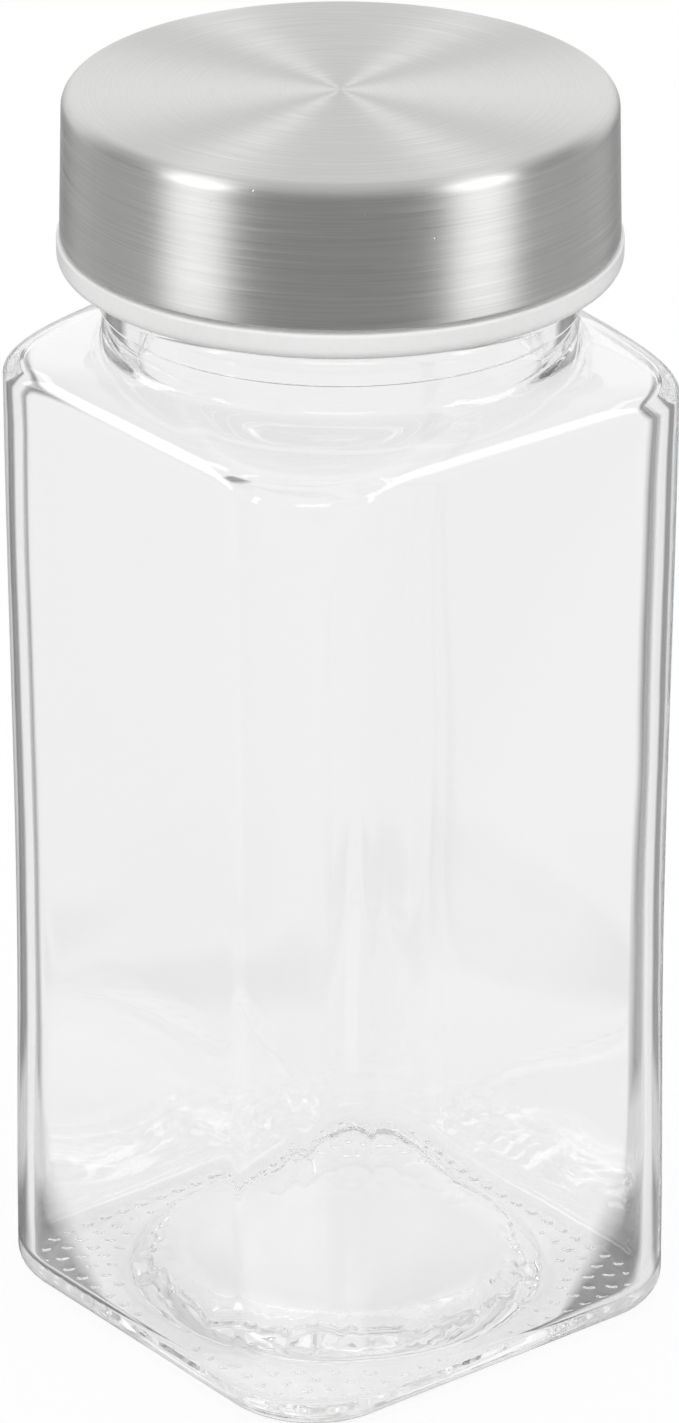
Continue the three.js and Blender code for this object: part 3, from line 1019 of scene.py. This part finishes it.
@dataclass
class Cap:
    """The cap: foam liner, natural plastic inner cap and brushed steel shell; sizes in mm."""

    seat: float = 102.4
    liner: float = 0.8
    liner_radius: float = 18.7
    gap: float = 0.3
    plate: float = 1.0
    root_radius: float = 19.0
    skirt_wall: float = 1.3
    flange_bottom: float = 91.2
    flange_height: float = 2.2
    flange_radius: float = 22.35
    flange_rounding: float = 0.9
    ribs: int = 24
    rib_width: float = 1.2
    rib_height: float = 0.85
    shell_top: float = 105.2
    shell_rim: float = 93.7
    shell_thickness: float = 0.4
    shell_top_radius: float = 21.85
    shell_rim_radius: float = 22.1
    shell_rounding: float = 1.2
    shell_lip: float = 0.12
    soft: float = 0.2
    rib_fade: float = 0.3
    thread: Thread = field(default_factory=lambda: Thread(91.282, 0.335))

    # Grid: columns in a ring, steps round each kind of edge, and the longest stretch in each piece
    columns: int = 240
    soft_steps: int = 3
    lip_steps: int = 4
    inner_steps: int = 6
    flange_steps: int = 8
    edge_steps: int = 12
    shell_spacing: float = 1.2
    inner_spacing: float = 0.22
    liner_spacing: float = 1.5

    def build_shell(self) -> bpy.types.Object:
        """Make the steel shell by turning its profile, and map it for the brushing.

        Returns:
            The shell's object.
        """
        edge = (self.shell_top_radius - self.shell_rounding, self.shell_top - self.shell_rounding)
        inner_rounding = self.shell_rounding - self.shell_thickness
        lip = self.shell_lip
        outer_rim = (self.shell_rim_radius - lip, self.shell_rim + lip)
        inner_rim = (self.shell_rim_radius - self.shell_thickness + lip, self.shell_rim + lip)
        profile = np.vstack(
            [
                [[POLE_RADIUS, self.shell_top]],
                arc(edge, self.shell_rounding, 1, 0, self.edge_steps),
                arc(outer_rim, lip, 0, -1, self.lip_steps),
                arc(inner_rim, lip, 3, 2, self.lip_steps),
                arc(edge, inner_rounding, 0, 1, self.inner_steps),
                [[POLE_RADIUS, self.shell_top - self.shell_thickness]],
            ]
        )
        profile = filled_in(profile, self.shell_spacing)
        grid = turned(profile[:, :1], profile[:, 1:], round_angles(self.columns))
        shell = turned_object(
            "cap_steel_shell", grid, self.shell_top, self.shell_top - self.shell_thickness
        )
        self.map_brushing(shell, profile)
        return shell

    def map_brushing(self, shell: bpy.types.Object, profile: np.ndarray) -> None:
        """Give the shell a UV map: u is the length along the profile and v the way round, both in mm.

        Args:
            shell: the turned object.
            profile: its profile, in mm.
        """
        mesh = shell.data
        count = self.columns
        length = profile_lengths(profile) + profile[0, 0]
        vertex = np.empty(len(mesh.loops), dtype=np.int64)
        mesh.loops.foreach_get("vertex_index", vertex)
        ring, column = np.divmod(vertex, count)
        pole = vertex >= len(profile) * count
        across = length[np.minimum(ring, len(profile) - 1)]
        across = np.where(pole, np.where(column == 0, 0.0, length[-1] + profile[-1, 0]), across)
        starts = np.empty(len(mesh.polygons), dtype=np.int64)
        totals = np.empty(len(mesh.polygons), dtype=np.int64)
        mesh.polygons.foreach_get("loop_start", starts)
        mesh.polygons.foreach_get("loop_total", totals)
        face = np.repeat(np.arange(len(starts)), totals)
        last = np.zeros(len(starts), dtype=np.int64)
        np.maximum.at(last, face, np.where(pole, 0, column))
        wraps = (last[face] == count - 1) & (column == 0) & ~pole
        turn = np.where(wraps, count, column) / count
        turn = np.where(pole, (last[face] - 0.5) / count, turn)
        around = turn * 2 * math.pi * self.shell_rim_radius
        layer = mesh.uv_layers.new(name=BrushedSteel().uv)
        layer.data.foreach_set("uv", np.column_stack([across, around]).ravel().astype(np.float32))

    def build_inner_cap(self) -> bpy.types.Object:
        """Make the inner cap by turning its profile, then move its wall out at ribs and in at the thread.

        Returns:
            The inner cap's object.
        """
        skirt = self.root_radius + self.skirt_wall
        plate_bottom = self.seat + self.liner + self.gap
        plate_top = plate_bottom + self.plate
        flange_top = self.flange_bottom + self.flange_height
        soft, big = self.soft, self.flange_rounding
        few, more = self.soft_steps, self.lip_steps
        profile = np.vstack(
            [
                [[POLE_RADIUS, plate_top]],
                arc((skirt - soft, plate_top - soft), soft, 1, 0, few),
                arc((skirt + soft, flange_top + soft), soft, 2, 3, few),
                arc((self.flange_radius - soft, flange_top - soft), soft, 1, 0, more),
                arc((self.flange_radius - big, self.flange_bottom + big), big, 0, -1, self.flange_steps),
                arc((self.root_radius + soft, self.flange_bottom + soft), soft, -1, -2, more),
                arc((self.root_radius - soft, plate_bottom - soft), soft, 0, 1, few),
                [[POLE_RADIUS, plate_bottom]],
            ]
        )
        profile = filled_in(profile, self.inner_spacing)
        angles = round_angles(self.columns)
        radius = np.repeat(profile[:, :1], len(angles), axis=1)
        z = profile[:, 1:]
        bore = np.abs(profile[:, 0] - self.root_radius) < SAME
        radius[bore] -= self.thread.height * self.thread.ridge(angles[None, :], z[bore])
        ribbed = np.abs(profile[:, 0] - skirt) < SAME
        pitch = 2 * math.pi / self.ribs
        away = np.abs((angles + pitch / 2) % pitch - pitch / 2) * skirt
        rib = np.clip((self.rib_width / 2 + self.rib_fade / 2 - away) / self.rib_fade, 0, 1)
        top = np.clip((plate_top - self.shell_rounding - z[ribbed]) / self.rib_fade, 0, 1)
        radius[ribbed] += self.rib_height * top * rib[None, :]
        grid = turned(radius, z, angles)
        return turned_object("cap_inner", grid, plate_top, plate_bottom)

    def build_liner(self) -> bpy.types.Object:
        """Make the liner: a disc with a softly rounded edge, turned.

        Returns:
            The liner's object.
        """
        soft = self.soft
        radius, low, high = self.liner_radius - soft, self.seat + soft, self.seat + self.liner - soft
        profile = np.vstack(
            [
                [[POLE_RADIUS, self.seat + self.liner]],
                arc((radius, high), soft, 1, 0, self.lip_steps),
                arc((radius, low), soft, 0, -1, self.lip_steps),
                [[POLE_RADIUS, self.seat]],
            ]
        )
        profile = filled_in(profile, self.liner_spacing)
        grid = turned(profile[:, :1], profile[:, 1:], round_angles(self.columns))
        return turned_object("cap_liner_disc", grid, self.seat + self.liner, self.seat)

    def dress(self) -> None:
        """Make the cap's pieces, give them their finishes and put them on their bodies."""
        finish_piece(self.build_liner(), FOAM.material(), Body.LINER, "cap_liner")
        plastic = NATURAL_POLYPROPYLENE.material()
        finish_piece(self.build_inner_cap(), plastic, Body.CAP, "inner_cap")
        finish_piece(self.build_shell(), BrushedSteel().material(), Body.CAP, "steel_cap_shell")


# Studio


@dataclass(frozen=True)
class Softbox:
    """A rectangular soft lamp that lights some pieces only; angles in degrees, lengths in metres."""

    name: str
    azimuth: float
    elevation: float
    width: float
    height: float
    brightness: float
    pieces: tuple[str, ...]
    distance: float = 2.2


GLASS_PIECES = ("jar_glass",)
PLASTIC_PIECES = ("cap_inner", "cap_liner_disc", "shaker_insert")
OPAQUE_PIECES = ("cap_steel_shell", *PLASTIC_PIECES)


@dataclass
class Studio:
    """Camera, table, lamps and surroundings; angles in degrees, lengths in metres.

    The clear glass shows what lies behind it, so the table has a pattern of painted shade and the room a
    pattern of light, that only the glass shows. They give the jar its dark and white edge lines.
    """

    # Camera
    azimuth: float = -38.5
    elevation: float = 24.47
    roll: float = 0.1
    distance: float = 0.6136
    target: tuple[float, float, float] = (0.0, 0.0, 0.0519)
    lens: float = 191.94
    sensor: float = 36.0

    # Table: what share of it glows, for the camera and through glass, and how brightly
    table_radius: float = 6.0
    table_columns: int = 96
    table_colour: str = "#f4f4f4"
    table_glow: float = 0.85
    table_glow_through: float = 0.75
    table_level: float = 1.08
    table_level_through: float = 1.05

    # Table pattern of painted shade: levels by angle, by depth behind the shaker, for the far sides, and in
    # front
    fan_half: float = 0.0165
    fan_front: float = 0.012
    fan: tuple[tuple[float, float], ...] = (
        (0.0, 1.0),
        (13.0, 1.0),
        (20.0, 0.24),
        (36.0, 0.24),
        (44.0, 0.95),
        (57.0, 0.95),
        (76.0, 0.38),
        (180.0, 0.3),
    )
    band: tuple[tuple[float, float], ...] = ((0.012, 0.0), (0.019, 0.7), (0.032, 0.7), (0.042, 0.0))
    near_radius: float = 0.032
    near_fade: float = 0.012
    open_start: float = 40.0
    open_full: float = 46.0
    open_level: float = 0.95
    # Painted shade on the table in front of the shaker: where it starts, how softly it comes in, and its
    # level
    front_edge: float = 0.035
    front_fade: float = 0.014
    front_shade_level: float = 0.45

    # Room: levels by height for the horizon and overhead, and by direction for the backdrop
    horizon: tuple[tuple[float, float], ...] = ((0.08, 1.0), (0.2, 0.0))
    backdrop_start: float = 0.3
    backdrop_full: float = 0.8
    backdrop_level: float = 1.04
    room_level: float = 0.32
    overhead_start: float = 0.42
    overhead_full: float = 0.8
    overhead_level: float = 0.8

    # Light: each lamp's name, azimuth, elevation, width, height, brightness and pieces
    bounces: int = 128
    lamps: tuple[Softbox, ...] = (
        Softbox("softbox_left", -60.0, 16.0, 1.1, 1.6, 3.5, OPAQUE_PIECES),
        Softbox("softbox_right", 59.0, 16.0, 1.1, 1.6, 3.5, OPAQUE_PIECES),
        Softbox("strip_left", -60.0, 16.0, 0.25, 1.6, 3.0, GLASS_PIECES),
        Softbox("strip_right", 59.0, 16.0, 0.25, 1.6, 3.0, GLASS_PIECES),
        Softbox("edge_left", -99.0, 14.0, 1.0, 0.6, 2.8, GLASS_PIECES),
        Softbox("edge_front", 0.0, 34.0, 1.2, 0.6, 2.8, GLASS_PIECES),
        Softbox("edge_right", 77.0, 22.0, 1.0, 0.6, 2.8, GLASS_PIECES),
        Softbox("front_fill", 0.0, 5.0, 1.4, 1.4, 1.8, PLASTIC_PIECES),
    )

    @staticmethod
    def direction(azimuth: float, elevation: float) -> Vector:
        """The unit vector from the object towards a place; azimuth 0 is on the -Y side."""
        a, e = math.radians(azimuth), math.radians(elevation)
        return Vector((math.sin(a) * math.cos(e), -math.cos(a) * math.cos(e), math.sin(e)))

    @property
    def behind(self) -> Vector:
        """The level direction away from the camera."""
        return -self.direction(self.azimuth, 0.0)

    def camera(self) -> None:
        """Make the camera at the photograph's viewing angle."""
        data = bpy.data.cameras.new("camera")
        data.lens = self.lens
        data.sensor_width = self.sensor
        camera = bpy.data.objects.new("camera", data)
        bpy.context.scene.collection.objects.link(camera)
        back = self.direction(self.azimuth, self.elevation)
        turn = (-back).to_track_quat("-Z", "Y").to_matrix().to_4x4()
        place = Matrix.Translation(Vector(self.target) + back * self.distance)
        camera.matrix_world = place @ turn @ Matrix.Rotation(math.radians(self.roll), 4, "Z")
        bpy.context.scene.camera = camera

    def painted_shade_pattern(self, tree: bpy.types.NodeTree, path: bpy.types.Node) -> bpy.types.Node:
        """Add the table's pattern of painted shade, a level from 0 to 1.

        Lines fan out from a point near each side corner of the jar, and the level follows the angle
        between them and the way straight back; its dark sectors are painted shade that the glass shows as
        dark edge lines, and round and under the shaker that painted shade stays. A band behind the shaker
        and the far table at the sides are lifted out of it. In front the pattern darkens as painted shade,
        but not for rays that came through glass.

        Args:
            tree: the table's node tree.
            path: its light path node.

        Returns:
            The node whose output is the level.
        """
        place = add_node(tree, "TexCoord", {}).outputs["Object"]
        side = self.direction(self.azimuth + HALF_TURN / 2, 0.0)
        sideways = add_node(tree, "VectorMath", {0: place, 1: side}, operation="DOT_PRODUCT")
        off = add_node(tree, "Math", {0: sideways}, operation="ABSOLUTE")
        past = add_node(tree, "Math", {0: off, 1: self.fan_half}, operation="SUBTRACT")
        depth = add_node(tree, "VectorMath", {0: place, 1: self.behind}, operation="DOT_PRODUCT")
        ahead = add_node(tree, "Math", {0: depth, 1: self.fan_front}, operation="ADD")
        angle = add_node(tree, "Math", {0: past, 1: ahead}, operation="ARCTAN2")
        turn = add_node(tree, "Math", {0: angle, 1: math.pi}, operation="DIVIDE", use_clamp=True)
        # The fan's dark sectors are painted shade, which the glass shows as dark edge lines.
        fan = add_node(tree, "ValToRGB", {"Fac": turn})
        set_stops(fan.color_ramp, [(degrees / HALF_TURN, level) for degrees, level in self.fan])
        # Painted shade on the table in front of the shaker, for reflections and bounce light.
        front = add_node(
            tree,
            "MapRange",
            {
                "Value": depth,
                "From Min": -self.front_edge - self.front_fade,
                "From Max": -self.front_edge,
                "To Min": self.front_shade_level,
            },
            interpolation_type="SMOOTHSTEP",
        )
        band = add_node(tree, "ValToRGB", {"Fac": depth})
        set_stops(band.color_ramp, self.band)
        # Painted shade round and under the shaker: the far table at the sides is lifted only beyond
        # near_radius.
        radius = add_node(tree, "VectorMath", {0: place}, operation="LENGTH")
        edge = self.near_radius + self.near_fade
        far = add_node(
            tree,
            "MapRange",
            {"Value": radius, "From Min": self.near_radius, "From Max": edge},
            interpolation_type="SMOOTHSTEP",
        )
        wide = add_node(
            tree,
            "MapRange",
            {
                "Value": turn,
                "From Min": self.open_start / HALF_TURN,
                "From Max": self.open_full / HALF_TURN,
                "To Max": self.open_level,
            },
            interpolation_type="SMOOTHSTEP",
        )
        around = add_node(tree, "Math", {0: far, 1: wide}, operation="MULTIPLY")
        banded = add_node(tree, "Math", {0: fan, 1: band}, operation="MAXIMUM")
        lifted = add_node(tree, "Math", {0: banded, 1: around}, operation="MAXIMUM")
        # Rays that came through glass don't get the painted shade in front.
        through = path.outputs["Is Transmission Ray"]
        limit = add_node(tree, "Math", {0: front, 1: through}, operation="MAXIMUM")
        return add_node(tree, "Math", {0: lifted, 1: limit}, operation="MINIMUM")

    def table(self) -> None:
        """Make the white table: a flat disc that shows white and keeps the object's shadow.

        It is part paper and part glow. The camera sees it white, and other rays see its pattern of painted
        shade.
        """
        angles = round_angles(self.table_columns)
        points = turned(np.array([[self.table_radius / MM]]), np.zeros((1, 1)), angles)[0]
        table = mesh_object("table", points, [np.arange(len(angles))[None, :]])
        material, tree = empty_material("white_paper_sweep")
        path = add_node(tree, "LightPath", {})
        seen, through = path.outputs["Is Camera Ray"], path.outputs["Is Transmission Ray"]
        white = add_node(tree, "Math", {0: self.painted_shade_pattern(tree, path), 1: seen}, operation="MAXIMUM")
        glassy = add_node(tree, "Math", {0: through, 1: self.table_glow_through}, operation="MULTIPLY")
        share = add_node(
            tree, "Math", {0: seen, 1: self.table_glow, 2: glassy}, operation="MULTIPLY_ADD"
        )
        colour = add_node(
            tree,
            "Mix",
            {"Factor": white, "A": linear("#000000"), "B": linear(self.table_colour)},
            data_type="RGBA",
        )
        paper = add_node(tree, "BsdfDiffuse", {"Color": colour, "Roughness": 1.0})
        level = add_node(
            tree,
            "Mix",
            {"Factor": seen, "A": self.table_level_through, "B": self.table_level},
            data_type="FLOAT",
        )
        strength = add_node(tree, "Math", {0: white, 1: level}, operation="MULTIPLY")
        glow = add_node(tree, "Emission", {"Color": linear("#ffffff"), "Strength": strength})
        mix = add_node(tree, "MixShader", {0: share, 1: paper, 2: glow})
        add_node(tree, "OutputMaterial", {"Surface": mix})
        table.data.materials.append(material)

    def surroundings(self) -> None:
        """Make the room: grey, lighter overhead and white behind the shaker.

        To the camera and through glass it is white near the horizon too, so the table has no edge.
        """
        world = bpy.data.worlds.new("studio_room")
        world.use_nodes = True
        tree = world.node_tree
        tree.nodes.clear()
        place = add_node(tree, "TexCoord", {}).outputs["Generated"]
        up = add_node(tree, "SeparateXYZ", {"Vector": place}).outputs["Z"]
        ramp = add_node(tree, "ValToRGB", {"Fac": up})
        set_stops(ramp.color_ramp, self.horizon)
        path = add_node(tree, "LightPath", {})
        shown = add_node(
            tree,
            "Math",
            {0: path.outputs["Is Camera Ray"], 1: path.outputs["Is Transmission Ray"]},
            operation="ADD",
            use_clamp=True,
        )
        horizon = add_node(tree, "Math", {0: ramp, 1: shown}, operation="MULTIPLY")
        facing = add_node(tree, "VectorMath", {0: place, 1: self.behind}, operation="DOT_PRODUCT")
        backdrop = add_node(
            tree,
            "MapRange",
            {
                "Value": facing,
                "From Min": self.backdrop_start,
                "From Max": self.backdrop_full,
                "To Min": self.room_level,
                "To Max": self.backdrop_level,
            },
            interpolation_type="SMOOTHSTEP",
        )
        overhead = add_node(
            tree,
            "MapRange",
            {
                "Value": up,
                "From Min": self.overhead_start,
                "From Max": self.overhead_full,
                "To Max": self.overhead_level,
            },
            interpolation_type="SMOOTHSTEP",
        )
        room = add_node(tree, "Math", {0: overhead, 1: backdrop}, operation="MAXIMUM")
        level = add_node(tree, "Math", {0: horizon, 1: room}, operation="MAXIMUM")
        background = add_node(tree, "Background", {"Color": level, "Strength": 1.0})
        add_node(tree, "OutputWorld", {"Surface": background})
        bpy.context.scene.world = world

    def lights(self) -> None:
        """Make the softboxes; a lamp's power is its brightness times pi times its area.

        Each lamp lights and is shaded by its own pieces only, so clear glass throws no lamp shadow
        on the plastic behind it.
        """
        for box in self.lamps:
            data = bpy.data.lights.new(box.name, "AREA")
            data.shape = "RECTANGLE"
            data.size = box.width
            data.size_y = box.height
            data.energy = box.brightness * math.pi * box.width * box.height
            lamp = bpy.data.objects.new(box.name, data)
            bpy.context.scene.collection.objects.link(lamp)
            towards = self.direction(self.azimuth + box.azimuth, box.elevation)
            lamp.location = Vector(self.target) + towards * box.distance
            lamp.rotation_mode = "QUATERNION"
            lamp.rotation_quaternion = (-towards).to_track_quat("-Z", "Y")
            lamp.visible_camera = False
            lit = bpy.data.collections.new(f"lit_by_{box.name}")
            for name in box.pieces:
                lit.objects.link(bpy.data.objects[name])
            lamp.light_linking.receiver_collection = lit
            lamp.light_linking.blocker_collection = lit

    def build(self) -> None:
        """Make the studio without its lamps, which need the pieces that they light."""
        self.camera()
        self.table()
        self.surroundings()
        scene = bpy.context.scene
        scene.view_settings.view_transform = "Standard"
        scene.cycles.max_bounces = self.bounces
        scene.cycles.glossy_bounces = self.bounces
        scene.cycles.transmission_bounces = self.bounces


def main() -> None:
    """Build the studio and the shaker."""
    logging.basicConfig(level=logging.INFO, format="%(name)s %(message)s")
    studio = Studio()
    studio.build()
    Jar().dress()
    Cap().dress()
    studio.lights()


if __name__ == "__main__":
    main()
